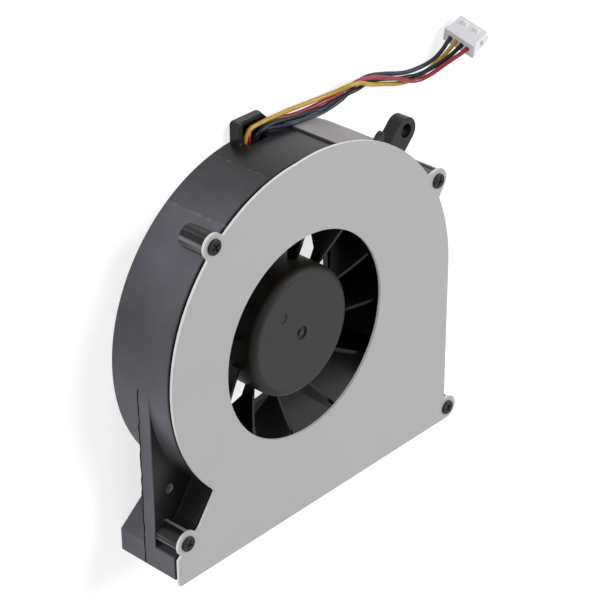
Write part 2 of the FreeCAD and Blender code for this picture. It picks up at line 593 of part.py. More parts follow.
# Rotor
def make_impeller():
    body = new_body("impeller")
    radius, skin, top, bottom = size("hub_radius"), size("hub_skin"), size("hub_top"), size("hub_bottom")
    inner = radius - skin
    ceiling = top - skin
    boss = size("shaft_radius") + 1.2
    boss_low = YOKE_TOP + size("fit_gap")
    shaft_top = top - size("shaft_embed")
    bore = size("shaft_radius") + size("fit_gap")
    profile = [
        Part.LineSegment(Vector(0, top, 0), Vector(radius, top, 0)),
        Part.LineSegment(Vector(radius, top, 0), Vector(radius, bottom, 0)),
        Part.LineSegment(Vector(radius, bottom, 0), Vector(inner, bottom, 0)),
        Part.LineSegment(Vector(inner, bottom, 0), Vector(inner, ceiling, 0)),
        Part.LineSegment(Vector(inner, ceiling, 0), Vector(boss, ceiling, 0)),
        Part.LineSegment(Vector(boss, ceiling, 0), Vector(boss, boss_low, 0)),
        Part.LineSegment(Vector(boss, boss_low, 0), Vector(bore, boss_low, 0)),
        Part.LineSegment(Vector(bore, boss_low, 0), Vector(bore, shaft_top, 0)),
        Part.LineSegment(Vector(bore, shaft_top, 0), Vector(0, shaft_top, 0)),
        Part.LineSegment(Vector(0, shaft_top, 0), Vector(0, top, 0)),
    ]
    sketch = new_sketch(body, "hub_profile", profile, None, "XZ_Plane")
    hub = body.newObject("PartDesign::Revolution", "hub")
    hub.Profile = sketch
    hub.ReferenceAxis = (sketch, ["V_Axis"])
    hub.Angle = 360
    doc.recompute()

    # one blade in plan: a thin bowed strip from inside the hub's skin to the tip
    phase = size("blade_phase")
    start_r, end_r = radius - skin / 2, size("blade_tip")
    middle_r = (start_r + end_r) / 2
    start = polar(start_r, phase)
    end = polar(end_r, phase + size("blade_sweep"))
    middle = (start + end) * 0.5
    along = (end - start).normalize()
    across = Vector(-along.y, along.x, 0)
    half = size("blade_thick") / 2
    middle = middle + across * size("blade_bow")
    tip_mid = end + along * half
    strip = [
        Part.Arc(start + across * half, middle + across * half, end + across * half),
        Part.Arc(end + across * half, tip_mid, end - across * half),
        Part.Arc(start - across * half, middle - across * half, end - across * half),
        Part.LineSegment(start + across * half, start - across * half),
    ]
    blade = pad(body, "blade", strip, "sizes.blade_top - sizes.blade_bottom", "sizes.blade_bottom")
    pattern = body.newObject("PartDesign::PolarPattern", "blades")
    pattern.Originals = [blade]
    pattern.Axis = (base_axis(body), [""])
    pattern.Angle = 360
    pattern.Occurrences = int(size("blade_count"))
    body.Tip = pattern
    doc.recompute()

    # narrow roots: the blades are cut back above and below between the hub and their full height
    over, low, high = 1.0, size("blade_bottom") - 1, size("blade_top") + 1
    full, reach = size("blade_full"), radius + size("root_reach")
    upper = polygon([(radius, size("root_top")), (full, size("blade_top")), (full, high), (radius, high)])
    lower = polygon([(inner, low), (full + over, low), (full + over, size("blade_bottom")),
                     (reach, size("root_bottom")), (radius, size("root_bottom")), (radius, bottom), (inner, bottom)])
    for name, cut in (("blade_shoulders", upper), ("blade_undercut", lower)):
        before = body.Shape.Volume
        sketch = new_sketch(body, name + "_sketch", cut, None, "XZ_Plane")
        groove = body.newObject("PartDesign::Groove", name)
        groove.Profile = sketch
        groove.ReferenceAxis = (sketch, ["V_Axis"])
        groove.Angle = 360
        doc.recompute()
        if body.Shape.Volume > before - EPS:
            raise RuntimeError(name + " cuts nothing")

    def at_rim(edge, middle):
        return abs(middle.z - top) < EPS and abs(math.hypot(middle.x, middle.y) - radius) < EPS
    round_edges(body, "hub_rim", "sizes.hub_round", at_rim)

    # moulding marks on the hub's face
    ring = [circle(0, 0, size("dimple_radius")), circle(0, 0, size("pip_radius"))]
    pocket(body, "hub_dimple", ring, "sizes.dimple_depth", "sizes.hub_top")
    gate = polar(size("gate_reach"), size("gate_turn"))
    pocket(body, "gate_mark", [circle(gate.x, gate.y, size("gate_radius"))], "sizes.gate_depth", "sizes.hub_top")
    return body


def base_axis(body):
    return [item for item in body.Origin.OriginFeatures if item.Role == "Z_Axis"][0]


def make_yoke():
    body = new_body("rotor_yoke")
    outer, thick, low = YOKE_OUTER, size("yoke_thick"), size("hub_bottom")
    bore = size("shaft_radius") + size("fit_gap")
    profile = polygon([(bore, YOKE_TOP), (outer, YOKE_TOP), (outer, low), (outer - thick, low),
                       (outer - thick, YOKE_TOP - thick), (bore, YOKE_TOP - thick)])
    sketch = new_sketch(body, "yoke_profile", profile, None, "XZ_Plane")
    cup = body.newObject("PartDesign::Revolution", "cup")
    cup.Profile = sketch
    cup.ReferenceAxis = (sketch, ["V_Axis"])
    cup.Angle = 360
    doc.recompute()
    return body


def make_shaft():
    body = new_body("shaft")
    radius, foot = size("shaft_radius"), size("shaft_foot")
    top = size("hub_top") - size("shaft_embed") - size("fit_gap")
    groove, low, high = size("groove_radius"), size("groove_height"), size("groove_height") + size("groove_width")
    bevel = 0.15
    profile = polygon([(0, foot), (radius - bevel, foot), (radius, foot + bevel), (radius, low), (groove, low),
                       (groove, high), (radius, high), (radius, top - bevel), (radius - bevel, top), (0, top)])
    sketch = new_sketch(body, "shaft_profile", profile, None, "XZ_Plane")
    pin = body.newObject("PartDesign::Revolution", "pin")
    pin.Profile = sketch
    pin.ReferenceAxis = (sketch, ["V_Axis"])
    pin.Angle = 360
    doc.recompute()
    return body


# Stator
def star(label, bottom, height, arm, tip, shoe):
    """A four-armed star about the axis; with a shoe depth it gets pole shoes at its tips."""
    body = new_body(label)
    bore = HOLDER_OUTER + size("fit_gap")
    pad(body, "disc", [circle(0, 0, tip), circle(0, 0, bore)], height, bottom)
    ring = size("core_ring")
    inner_tip = tip - shoe
    half_ring = math.degrees(math.asin(arm / 2 / ring))
    half_tip = math.degrees(math.asin(arm / 2 / inner_tip))
    windows = []
    mouths = []
    for turn in (0, 90, 180, 270):
        start_ring, end_ring = turn - 45 + half_ring, turn + 45 - half_ring
        start_tip, end_tip = turn - 45 + half_tip, turn + 45 - half_tip
        windows += [
            arc(0, 0, ring, start_ring, end_ring),
            arc(0, 0, inner_tip, start_tip, end_tip),
            Part.LineSegment(polar(ring, start_ring), polar(inner_tip, start_tip)),
            Part.LineSegment(polar(ring, end_ring), polar(inner_tip, end_tip)),
        ]
        out = polar(1, turn)
        side = polar(size("slot_mouth") / 2, turn + 90)
        near, far = out * (inner_tip - size("slot_mouth") / 2), out * (tip + 1)
        mouths += polygon([near - side, far - side, far + side, near + side])
    pocket(body, "windows", windows, height, bottom, upward=True)
    pocket(body, "mouths", mouths, height, bottom, upward=True)
    return body


def make_stator():
    arm = size("arm_width")
    insulated = arm + 2 * size("insulator_edge")
    reach = POLE_RADIUS
    pieces = [
        star("stator_core", "sizes.core_bottom", "sizes.core_height", arm, reach, size("shoe_depth")),
        star("lower_insulator", "sizes.core_bottom - sizes.insulator_thick", "sizes.insulator_thick", insulated,
             reach - size("air_gap"), size("shoe_depth") - size("air_gap")),
        star("upper_insulator", "sizes.core_bottom + sizes.core_height", "sizes.insulator_thick", insulated,
             reach - size("air_gap"), size("shoe_depth") - size("air_gap")),
    ]
    # windings round the four arms
    gap = size("fit_gap")
    low = size("core_bottom") - size("insulator_thick") - gap
    tall = size("core_height") + 2 * size("insulator_thick") + 2 * gap
    wide = insulated + 2 * gap
    winding = size("winding")
    start = size("core_ring") + gap * 4
    end = math.sqrt((reach - size("shoe_depth") - gap * 4) ** 2 - (wide / 2 + winding) ** 2)
    for index in range(4):
        label = "coil_%d" % (index + 1)
        outside = doc.addObject("Part::Box", label + "_outside")
        outside.Length = end - start
        outside.Width = wide + 2 * winding
        outside.Height = tall + 2 * winding
        rounded = doc.addObject("Part::Fillet", label + "_rounded")
        rounded.Base = outside
        outside.Placement.Base = Vector(start, -wide / 2 - winding, low - winding)
        doc.recompute()
        lengthwise = []
        for number_, edge in enumerate(outside.Shape.Edges, start=1):
            if edge.BoundBox.XLength > 10 * EPS and edge.BoundBox.YLength < EPS and edge.BoundBox.ZLength < EPS:
                lengthwise.append((number_, winding * 0.8, winding * 0.8))
        rounded.Edges = lengthwise
        inside = doc.addObject("Part::Box", label + "_inside")
        inside.Length = end - start
        inside.Width = wide
        inside.Height = tall
        inside.Placement.Base = Vector(start, -wide / 2, low)
        coil = doc.addObject("Part::Cut", label)
        coil.Label = label
        coil.Base = rounded
        coil.Tool = inside
        coil.Placement = FreeCAD.Placement(Vector(0, 0, 0), FreeCAD.Rotation(UP, 45 + 90 * index))
        pieces.append(coil)
    return pieces


def make_bearing():
    holder = tube("bearing_holder", number(HOLDER_OUTER), number(HOLDER_INNER), "sizes.case_floor",
                  "sizes.holder_top - sizes.case_floor")
    sleeve = tube("bearing_sleeve", "sizes.sleeve_radius", "sizes.shaft_radius + sizes.bearing_gap",
                  "sizes.sleeve_bottom", "sizes.sleeve_length")
    thrust = doc.addObject("Part::Cylinder", "thrust_pad")
    thrust.Label = "thrust_pad"
    thrust.setExpression("Radius", "sizes.sleeve_radius")
    thrust.setExpression("Height", "sizes.pad_thick")
    thrust.setExpression("Placement.Base.z", "sizes.case_floor")
    seal = tube("oil_seal", "sizes.sleeve_radius", "sizes.shaft_radius + 2 * sizes.bearing_gap",
                "sizes.sleeve_bottom + sizes.sleeve_length + sizes.fit_gap", "sizes.seal_thick")
    ring = tube("retaining_ring", "sizes.ring_reach", "sizes.groove_radius + sizes.fit_gap",
                "sizes.groove_height + sizes.fit_gap", "sizes.groove_width - 2 * sizes.fit_gap")
    return [holder, sleeve, thrust, seal, ring]


def make_magnet():
    return tube("magnet_ring", number(MAGNET_OUTER), number(MAGNET_INNER), "sizes.hub_bottom + sizes.yoke_drop",
                "sizes.magnet_length")


def make_board():
    board = tube("circuit_board", "sizes.board_radius", "sizes.seat_boss + 2 * sizes.fit_gap",
                 number(BOARD_BOTTOM), "sizes.board_thick")
    chip = doc.addObject("Part::Box", "chip_block")
    chip.setExpression("Length", "sizes.chip_width")
    chip.setExpression("Width", "sizes.chip_length")
    chip.setExpression("Height", "sizes.chip_height")
    chip.Placement.Base = Vector(size("chip_reach") - size("chip_width") / 2, -size("chip_length") / 2, BOARD_TOP)
    doc.recompute()
    soft = doc.addObject("Part::Fillet", "driver_chip")
    soft.Label = "driver_chip"
    soft.Base = chip
    edges = []
    for index, edge in enumerate(chip.Shape.Edges, start=1):
        if edge.BoundBox.ZMin > BOARD_TOP + size("chip_height") - EPS:
            edges.append((index, 0.15, 0.15))
    soft.Edges = edges
    return [board, soft]


# Leads: from the board along the wide spoke, out beside the clip, then twisted along the rim to the plug
ROUTES = {
    "wire_yellow": [
        (-1.35, 8.3, 2.76), (-1.38, 10.4, 2.72), (-1.44, 12.9, 1.9), (-1.5, 16.6, 1.68),
        (-1.6, 22.7, 1.63), (-1.72, 28.4, 1.68), (-1.7, 32.3, 1.75), (-1.45, 34.0, 1.95),
        (-0.5, 34.95, 1.95), (1.5, 35.0, 1.9), (3.9, 34.95, 1.75), (6.75, 34.66, 1.45),
        (9.7, 34.42, 1.12), (12.6, 34.1, 0.9), (15.8, 33.85, 0.8), (19.1, 33.7, 0.85), (21.6, 34.05, 1.6),
        (23.9, 34.6, 2.4), (26.2, 34.25, 2.55), (28.4, 33.2, 2.3), (31.0, 31.9, 1.35), (34.6, 30.55, 0.5),
        (39.3, 28.95, 0.45), (43.3, 28.6, 0.45), (45.2, 29.3, 1.1), (47.4, 30.35, 1.55),
        (49.7, 31.9, 2.3), (50.81, 33.75, 3.16), (52.13, 34.22, 3.16)],
    "wire_red": [
        (-0.45, 8.3, 2.76), (-0.48, 10.4, 2.72), (-0.54, 12.9, 1.9), (-0.6, 16.6, 1.68),
        (-0.7, 22.7, 1.63), (-0.82, 28.4, 1.68), (-0.75, 32.0, 1.75), (-0.5, 33.5, 1.6),
        (0.35, 34.15, 1.15), (2.3, 34.35, 1.02), (4.7, 34.2, 0.98), (7.2, 33.85, 0.95), (9.5, 33.35, 1.2),
        (12.4, 33.0, 1.1), (15.6, 32.7, 0.8), (18.6, 32.7, 0.65), (21.6, 33.05, 1.2), (24.0, 33.8, 1.5),
        (27.1, 34.05, 1.4), (30.2, 33.5, 1.33), (33.7, 32.4, 1.33), (38.4, 30.45, 1.38),
        (42.4, 28.55, 1.38), (45.3, 29.3, 2.5), (47.2, 30.6, 3.5), (49.2, 31.9, 4.6),
        (51.09, 32.94, 5.51), (52.41, 33.41, 5.51)],
    "wire_black": [
        (0.45, 8.3, 2.76), (0.42, 10.4, 2.72), (0.36, 12.9, 1.9), (0.3, 16.6, 1.68), (0.2, 22.7, 1.63),
        (0.08, 28.4, 1.68), (0.1, 31.9, 1.8), (0.3, 33.2, 2.3), (0.95, 34.15, 2.75), (2.6, 34.45, 2.72),
        (4.7, 34.4, 2.6), (7.0, 34.05, 2.62), (9.4, 33.6, 2.6), (12.4, 33.0, 2.15), (14.9, 32.72, 1.95),
        (17.5, 32.0, 1.2), (19.9, 31.65, 0.55), (22.4, 32.1, 0.9), (24.8, 32.5, 1.35), (27.3, 32.5, 1.35),
        (29.5, 32.3, 0.6), (31.4, 32.25, 0.45), (34.8, 31.5, 0.45), (39.3, 29.95, 0.45),
        (41.3, 29.7, 0.6), (42.8, 29.6, 1.35), (46.4, 30.3, 2.2), (49.0, 31.7, 3.4), (50.95, 33.35, 4.34),
        (52.27, 33.82, 4.34)],
    "wire_blue": [
        (1.35, 8.3, 2.76), (1.32, 10.4, 2.72), (1.26, 12.9, 1.9), (1.2, 16.6, 1.68), (1.1, 22.7, 1.63),
        (0.98, 28.4, 1.68), (1.0, 31.6, 1.75), (1.2, 32.9, 1.85), (2.0, 33.62, 1.85), (3.8, 33.55, 2.0),
        (5.7, 33.28, 2.65), (7.4, 33.33, 3.35), (9.1, 33.28, 3.55), (11.2, 32.8, 3.2), (13.6, 32.25, 2.6),
        (16.7, 31.25, 1.4), (19.4, 30.65, 0.5), (22.5, 31.05, 0.45), (24.6, 31.55, 0.45),
        (27.0, 32.95, 0.45), (30.0, 33.6, 0.45), (34.5, 32.55, 0.45), (39.3, 30.95, 0.45),
        (42.8, 30.35, 0.45), (48.0, 30.4, 0.5), (50.1, 32.2, 1.2), (50.67, 34.16, 1.99),
        (51.99, 34.63, 1.99)],
}


def lead_path(points):
    """Straight runs joined by tangent arcs, with the radii of the arcs."""
    corners = [Vector(*point) for point in points]
    edges = []
    radii = []
    start = corners[0]
    for before, corner, after in zip(corners, corners[1:], corners[2:]):
        into, out = corner - before, after - corner
        cut = 0.45 * min(into.Length, out.Length)
        half_turn = into.getAngle(out) / 2
        radius = cut / math.tan(half_turn)
        into.normalize()
        out.normalize()
        first, last = corner - into * cut, corner + out * cut
        bulge = (out - into).normalize()
        middle = corner + bulge * (math.hypot(radius, cut) - radius)
        edges.append(Part.LineSegment(start, first).toShape())
        edges.append(Part.Arc(first, middle, last).toShape())
        radii.append(radius)
        start = last
    edges.append(Part.LineSegment(start, corners[-1]).toShape())
    return Part.Wire(edges), radii


def make_leads():
    leads = []
    radius = size("lead_dia") / 2
    for label, points in ROUTES.items():
        path, radii = lead_path(points)
        direction = Vector(*points[1]) - Vector(*points[0])
        section = Part.Wire(Part.Circle(Vector(*points[0]), direction, radius).toShape())
        lead = doc.addObject("Part::Feature", label)
        lead.Label = label
        lead.Shape = path.makePipeShell([section], True, False)
        lead.Placement = FreeCAD.Placement()
        share = lead.Shape.Volume / (math.pi * radius ** 2 * path.Length)
        print("%s: length %.1f, volume share %.4f, radii %s"
              % (label, path.Length, share, " ".join("%.1f" % value for value in radii)))
        leads.append(lead)
    return leads


def make_solder():
    """One soldered end for each lead, on the board."""
    group = doc.addObject("Part::Feature", "solder_joints")
    group.Label = "solder_joints"
    blobs = []
    wide = size("lead_dia")
    for points in ROUTES.values():
        x, y, z = points[0]
        blob = Part.makeBox(wide, wide, z - BOARD_TOP + wide / 2, Vector(x - wide / 2, y - wide, BOARD_TOP))
        top = [edge for edge in blob.Edges if edge.BoundBox.ZMin > z]
        blobs.append(blob.makeFillet(wide / 4, top))
    group.Shape = Part.makeCompound(blobs)
    group.Placement = FreeCAD.Placement()
    return group


def plug_placement():
    """The plug lies on one long lower corner, leaning on its leads."""
    lean, turn = size("plug_lean"), size("plug_turn")
    rest = math.cos(rad(lean)) * size("plug_width") / 2 + math.sin(rad(lean)) * size("plug_thick") / 2
    spin = FreeCAD.Rotation(UP, turn).multiply(FreeCAD.Rotation(Vector(1, 0, 0), lean))
    return FreeCAD.Placement(Vector(size("plug_x"), size("plug_y"), rest + EPS), spin)


def make_plug():
    """The plug's own frame: +X from its leads to its mating end, +Z along its row of contacts."""
    body = new_body("plug_housing")
    wide, long_, thick = size("plug_width"), size("plug_length"), size("plug_thick")
    over = size("flange_over")
    pad(body, "block", rectangle(0, -thick / 2, long_, thick / 2), "sizes.plug_width - 2 * sizes.flange_over",
        "sizes.flange_over - sizes.plug_width / 2")
    pad(body, "flange", rectangle(0, -thick / 2, size("flange_length"), thick / 2), "sizes.plug_width",
        "-sizes.plug_width / 2")
    rail = rectangle(long_ - size("rail_length"), -size("rail_width") / 2, long_, size("rail_width") / 2)
    pad(body, "rails", rail, "sizes.plug_width", "-sizes.plug_width / 2")
    rows = [(index - 1.5) * size("pin_pitch") for index in range(4)]
    start = long_ - size("ramp_length") - over
    for index, row in enumerate((rows[0] + rows[1], rows[2] + rows[3])):
        ramp = polygon([(start, thick / 2), (start + size("ramp_length"), thick / 2),
                        (start + size("ramp_length") * 0.4, thick / 2 + size("ramp_height"))])
        pad(body, "ramp_%d" % (index + 1), ramp, "sizes.ramp_width",
            number(row / 2 - size("ramp_width") / 2))
    holes = [circle(0, row, size("wire_hole") / 2) for row in rows]
    pocket(body, "wire_holes", holes, "sizes.wire_hole_depth", None, upward=True, role="YZ_Plane")
    half, tall = size("socket_width") / 2, size("socket_height") / 2
    sockets = []
    for row in rows:
        sockets += rectangle(-tall, row - half, tall, row + half)
    pocket(body, "sockets", sockets, "sizes.plug_length - sizes.wire_hole_depth", "sizes.plug_length",
           role="YZ_Plane")
    body.Placement = plug_placement()

    group = doc.addObject("Part::Feature", "plug_terminals")
    group.Label = "plug_terminals"
    shells = []
    play, skin = size("terminal_play"), size("terminal_wall")
    depth, length = size("wire_hole_depth"), size("terminal_length")
    for row in rows:
        outer = Part.makeBox(length, 2 * (tall - play), 2 * (half - play), Vector(depth, play - tall, row + play - half))
        inner = Part.makeBox(length, 2 * (tall - play - skin), 2 * (half - play - skin),
                             Vector(depth + 2 * skin, play + skin - tall, row + play + skin - half))
        shells.append(outer.cut(inner))
    group.Shape = Part.makeCompound(shells)
    group.Placement = plug_placement()
    return [body, group]


parts = [make_casing(), make_cover_plate(), make_screws(), make_impeller(), make_yoke(), make_magnet(), make_shaft()]
parts += make_bearing() + make_stator() + make_board() + [make_solder()] + make_leads() + make_plug()


# Checks and files
doc.recompute()
for item in doc.Objects:
    if "Invalid" in item.State or "Error" in item.State:
        raise RuntimeError("%s failed" % item.Label)
for item in parts:
    if item.Shape.isNull() or not item.Shape.isValid():
        raise RuntimeError("%s has no sound shape" % item.Label)
os.makedirs("parts", exist_ok=True)
for item in parts:
    item.Shape.exportStep("parts/%s.step" % item.Label)
    print("%-18s %2d solid(s) %10.3f mm3" % (item.Label, len(item.Shape.Solids), item.Shape.Volume))
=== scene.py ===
"""Looks of the laptop blower fan: leads, materials, floor, lamps and camera."""
from math import radians, sin

import bpy
from mathutils import Matrix, Vector


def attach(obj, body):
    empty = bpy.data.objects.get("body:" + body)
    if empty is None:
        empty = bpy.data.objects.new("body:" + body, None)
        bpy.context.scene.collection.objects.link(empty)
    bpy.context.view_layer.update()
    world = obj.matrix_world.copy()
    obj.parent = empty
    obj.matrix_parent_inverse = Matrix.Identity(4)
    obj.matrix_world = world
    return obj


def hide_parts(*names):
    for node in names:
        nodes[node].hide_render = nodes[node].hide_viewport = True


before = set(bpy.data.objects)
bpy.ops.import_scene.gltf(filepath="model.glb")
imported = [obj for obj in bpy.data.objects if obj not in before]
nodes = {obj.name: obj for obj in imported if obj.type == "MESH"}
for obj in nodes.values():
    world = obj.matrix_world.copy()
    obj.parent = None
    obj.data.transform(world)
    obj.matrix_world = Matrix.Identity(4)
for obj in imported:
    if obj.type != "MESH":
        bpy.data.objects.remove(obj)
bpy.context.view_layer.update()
MM = 0.001

# Places in plan that the casing's colours follow, its painted light and shade included, in millimetres
RIM_CENTRE = (-0.46, 1.82)
FLANGE_HOLE = (-27.9, -19.6)
LEFT_BOSSES = ((-21.41, 25.75), (-29.41, -27.4))

# Camera: the photograph's place, directions and focal length
EYE = (-233.67, 192.12, 229.38)
VIEW_RIGHT = (0.6784, -0.0046, 0.7347)
VIEW_DOWN = (-0.3727, -0.8640, 0.3387)
VIEW_FORWARD = (0.6332, -0.5035, -0.5878)


def make_camera():
    data = bpy.data.cameras.new("camera")
    data.lens = 132.0
    data.sensor_width = 36.0
    data.clip_start = 0.01
    data.clip_end = 20.0
    camera = bpy.data.objects.new("camera", data)
    bpy.context.scene.collection.objects.link(camera)
    right, up, back = Vector(VIEW_RIGHT), -Vector(VIEW_DOWN), -Vector(VIEW_FORWARD)
    place = Vector(EYE) * MM
    camera.matrix_world = Matrix((
        (right.x, up.x, back.x, place.x),
        (right.y, up.y, back.y, place.y),
        (right.z, up.z, back.z, place.z),
        (0, 0, 0, 1)))
    bpy.context.scene.camera = camera


bpy.context.scene.view_settings.view_transform = "Standard"
make_camera()

# Leads: the same points as in the part's source, in millimetres
LEAD_DIAMETER = 0.8
LEADS = {
    "wire_yellow": [
        (-1.35, 8.3, 2.76), (-1.38, 10.4, 2.72), (-1.44, 12.9, 1.9), (-1.5, 16.6, 1.68),
        (-1.6, 22.7, 1.63), (-1.72, 28.4, 1.68), (-1.7, 32.3, 1.75), (-1.45, 34, 1.95),
        (-0.5, 34.95, 1.95), (1.5, 35, 1.9), (3.9, 34.95, 1.75), (6.75, 34.66, 1.45), (9.7, 34.42, 1.12),
        (12.6, 34.1, 0.9), (15.8, 33.85, 0.8), (19.1, 33.7, 0.85), (21.6, 34.05, 1.6), (23.9, 34.6, 2.4),
        (26.2, 34.25, 2.55), (28.4, 33.2, 2.3), (31, 31.9, 1.35), (34.6, 30.55, 0.5), (39.3, 28.95, 0.45),
        (43.3, 28.6, 0.45), (45.2, 29.3, 1.1), (47.4, 30.35, 1.55), (49.7, 31.9, 2.3),
        (50.81, 33.75, 3.16), (52.13, 34.22, 3.16)],
    "wire_red": [
        (-0.45, 8.3, 2.76), (-0.48, 10.4, 2.72), (-0.54, 12.9, 1.9), (-0.6, 16.6, 1.68),
        (-0.7, 22.7, 1.63), (-0.82, 28.4, 1.68), (-0.75, 32, 1.75), (-0.5, 33.5, 1.6),
        (0.35, 34.15, 1.15), (2.3, 34.35, 1.02), (4.7, 34.2, 0.98), (7.2, 33.85, 0.95), (9.5, 33.35, 1.2),
        (12.4, 33, 1.1), (15.6, 32.7, 0.8), (18.6, 32.7, 0.65), (21.6, 33.05, 1.2), (24, 33.8, 1.5),
        (27.1, 34.05, 1.4), (30.2, 33.5, 1.33), (33.7, 32.4, 1.33), (38.4, 30.45, 1.38),
        (42.4, 28.55, 1.38), (45.3, 29.3, 2.5), (47.2, 30.6, 3.5), (49.2, 31.9, 4.6),
        (51.09, 32.94, 5.51), (52.41, 33.41, 5.51)],
    "wire_black": [
        (0.45, 8.3, 2.76), (0.42, 10.4, 2.72), (0.36, 12.9, 1.9), (0.3, 16.6, 1.68), (0.2, 22.7, 1.63),
        (0.08, 28.4, 1.68), (0.1, 31.9, 1.8), (0.3, 33.2, 2.3), (0.95, 34.15, 2.75), (2.6, 34.45, 2.72),
        (4.7, 34.4, 2.6), (7, 34.05, 2.62), (9.4, 33.6, 2.6), (12.4, 33, 2.15), (14.9, 32.72, 1.95),
        (17.5, 32, 1.2), (19.9, 31.65, 0.55), (22.4, 32.1, 0.9), (24.8, 32.5, 1.35), (27.3, 32.5, 1.35),
        (29.5, 32.3, 0.6), (31.4, 32.25, 0.45), (34.8, 31.5, 0.45), (39.3, 29.95, 0.45),
        (41.3, 29.7, 0.6), (42.8, 29.6, 1.35), (46.4, 30.3, 2.2), (49, 31.7, 3.4), (50.95, 33.35, 4.34),
        (52.27, 33.82, 4.34)],
    "wire_blue": [
        (1.35, 8.3, 2.76), (1.32, 10.4, 2.72), (1.26, 12.9, 1.9), (1.2, 16.6, 1.68), (1.1, 22.7, 1.63),
        (0.98, 28.4, 1.68), (1, 31.6, 1.75), (1.2, 32.9, 1.85), (2, 33.62, 1.85), (3.8, 33.55, 2),
        (5.7, 33.28, 2.65), (7.4, 33.33, 3.35), (9.1, 33.28, 3.55), (11.2, 32.8, 3.2), (13.6, 32.25, 2.6),
        (16.7, 31.25, 1.4), (19.4, 30.65, 0.5), (22.5, 31.05, 0.45), (24.6, 31.55, 0.45),
        (27, 32.95, 0.45), (30, 33.6, 0.45), (34.5, 32.55, 0.45), (39.3, 30.95, 0.45),
        (42.8, 30.35, 0.45), (48, 30.4, 0.5), (50.1, 32.2, 1.2), (50.67, 34.16, 1.99),
        (51.99, 34.63, 1.99)],
}


def make_leads():
    made = {}
    for node, points in LEADS.items():
        curve = bpy.data.curves.new("lead_" + node, "CURVE")
        curve.dimensions = "3D"
        curve.resolution_u = 8
        curve.bevel_depth = 1.0
        curve.bevel_resolution = 5
        curve.use_fill_caps = True
        spline = curve.splines.new("NURBS")
        spline.points.add(len(points) - 1)
        for point, place in zip(spline.points, points):
            point.co = (*[value * MM for value in place], 1)
            point.radius = LEAD_DIAMETER / 2 * MM
        spline.order_u = 3
        spline.use_endpoint_u = True
        piece = bpy.data.objects.new("lead_" + node.split("_")[1], curve)
        bpy.context.scene.collection.objects.link(piece)
        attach(piece, "housing")
        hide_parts(node)
        made[node] = piece
    return made


leads = make_leads()


def make_flash_line():
    """Wavy dark parting line on the casing's left side, along the flange's back edge and down the foot."""
    left, height, half = -31.668, 5.86, 0.09
    curve = bpy.data.curves.new("flash_line", "CURVE")
    curve.dimensions = "3D"
    curve.bevel_depth = 1.0
    curve.bevel_resolution = 1
    curve.resolution_u = 3
    curve.use_fill_caps = True
    count = 40
    spline = curve.splines.new("NURBS")
    spline.points.add(count - 1)
    for index, point in enumerate(spline.points):
        y = 0.6 - 34.7 * index / (count - 1)
        sway = 0.11 * sin(2.1 * index) + 0.07 * sin(5.3 * index + 1)
        point.co = (left * MM, y * MM, (height + (sway if y > -29 else 0.3 * sway)) * MM, 1)
        point.radius = half * (1.2 + 0.35 * sin(1.7 * index)) * MM
    spline.order_u = 3
    spline.use_endpoint_u = True
    piece = bpy.data.objects.new("flash_line", curve)
    bpy.context.scene.collection.objects.link(piece)
    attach(piece, "housing")
    return piece


flash_line = make_flash_line()


# Materials
class Paint:
    """A node material built around one Principled shader."""

    def __init__(self, name, color, roughness, metallic=0.0):
        self.material = bpy.data.materials.new(name)
        self.material.use_nodes = True
        self.tree = self.material.node_tree
        self.shader = self.tree.nodes["Principled BSDF"]
        self.shader.inputs["Base Color"].default_value = (*color, 1)
        self.shader.inputs["Roughness"].default_value = roughness
        self.shader.inputs["Metallic"].default_value = metallic
        self.color = color
        self.coordinates = self.tree.nodes.new("ShaderNodeTexCoord").outputs["Object"]

    def add(self, kind, **values):
        node = self.tree.nodes.new("ShaderNode" + kind)
        for key, value in values.items():
            if hasattr(node, key) and key not in node.inputs:
                setattr(node, key, value)
            else:
                node.inputs[key].default_value = value
        return node

    def link(self, source, target):
        self.tree.links.new(source, target)

    def stretch(self, factors):
        """Coordinates scaled by a factor on each axis."""
        mapping = self.add("Mapping")
        mapping.inputs["Scale"].default_value = factors
        self.link(self.coordinates, mapping.inputs["Vector"])
        return mapping.outputs["Vector"]

    def noise(self, scale, detail=3.0, roughness=0.55, vector=None):
        node = self.add("TexNoise", Scale=scale, Detail=detail, Roughness=roughness)
        self.link(vector or self.coordinates, node.inputs["Vector"])
        return node.outputs["Fac"]

    def spread(self, value, low, high, start=0.3, end=0.7):
        """A value mapped from start..end to low..high."""
        node = self.add("MapRange")
        for key, number in zip(("From Min", "From Max", "To Min", "To Max"), (start, end, low, high)):
            node.inputs[key].default_value = number
        self.link(value, node.inputs["Value"])
        return node.outputs["Result"]

    def mix(self, factor, first, second):
        """Colour between two, by a factor; each is a colour or a socket."""
        node = self.add("Mix", data_type="RGBA")
        self.link(factor, node.inputs["Factor"])
        sockets = [item for item in node.inputs if item.type == "RGBA"]
        for socket, value in zip(sockets, (first, second)):
            if isinstance(value, tuple):
                socket.default_value = (*value, 1)
            else:
                self.link(value, socket)
        return [item for item in node.outputs if item.type == "RGBA"][0]

    def roughen(self, value):
        self.link(value, self.shader.inputs["Roughness"])

    def tint(self, value):
        self.link(value, self.shader.inputs["Base Color"])

    def relief(self, height, strength, distance):
        """Bump from a height, on top of any relief that is there."""
        bump = self.add("Bump", Strength=strength, Distance=distance)
        self.link(height, bump.inputs["Height"])
        slot = self.shader.inputs["Normal"]
        if slot.links:
            self.link(slot.links[0].from_socket, bump.inputs["Normal"])
        self.link(bump.outputs["Normal"], slot)

    def soften(self, radius):
        """Small rounding of sharp edges in the shading."""
        bevel = self.add("Bevel", samples=6, Radius=radius)
        self.link(bevel.outputs["Normal"], self.shader.inputs["Normal"])


